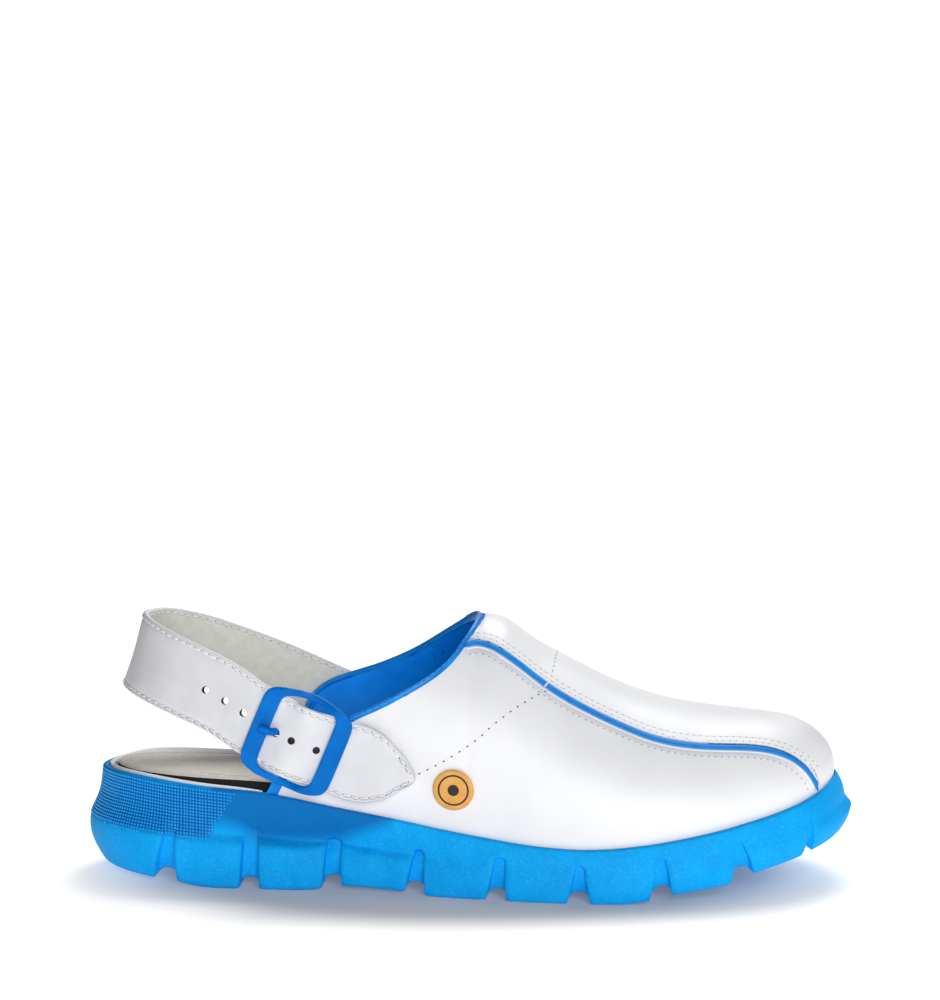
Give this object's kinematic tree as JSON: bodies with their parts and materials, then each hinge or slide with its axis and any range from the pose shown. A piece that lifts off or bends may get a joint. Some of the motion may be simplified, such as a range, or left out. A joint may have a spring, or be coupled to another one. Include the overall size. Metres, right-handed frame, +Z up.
{
  "type": "anti-static clog",
  "caption": "Backless work clog with a leather upper, raised centre panel, buckled heel strap, suede insole and a blue foam sole with wedge-grooved lugs.",
  "frame": {"origin": "midway along and across the shoe, on the plane that the sole stands on", "axes": "+X towards the toe, -Y towards the lateral side that carries the buckle, +Z up"},
  "size_m": [0.2796, 0.103, 0.0957],
  "materials": {
    "sole_foam": "matte blue polyurethane foam, finely grained",
    "insole_suede": "taupe suede cover with a black edge",
    "edge_band": "white edge tape",
    "upper_leather": "smooth white leather, blue lining",
    "piping": "satin blue piping",
    "binding": "satin blue rolled binding",
    "strap_leather": "smooth white leather with stitched edges, pale suede back",
    "buckle_lacquer": "glossy blue lacquer",
    "badge_amber": "satin amber"
  },
  "bodies": {
    "root": {"sole": "sole_foam", "insole": "insole_suede", "heel_band": "edge_band", "upper": "upper_leather", "piping_lateral": "piping", "piping_medial": "piping", "collar_binding": "binding", "heel_strap": "strap_leather", "buckle_frame": "buckle_lacquer", "buckle_prong": "buckle_lacquer", "badge": "badge_amber"}
  },
  "joints": []
}
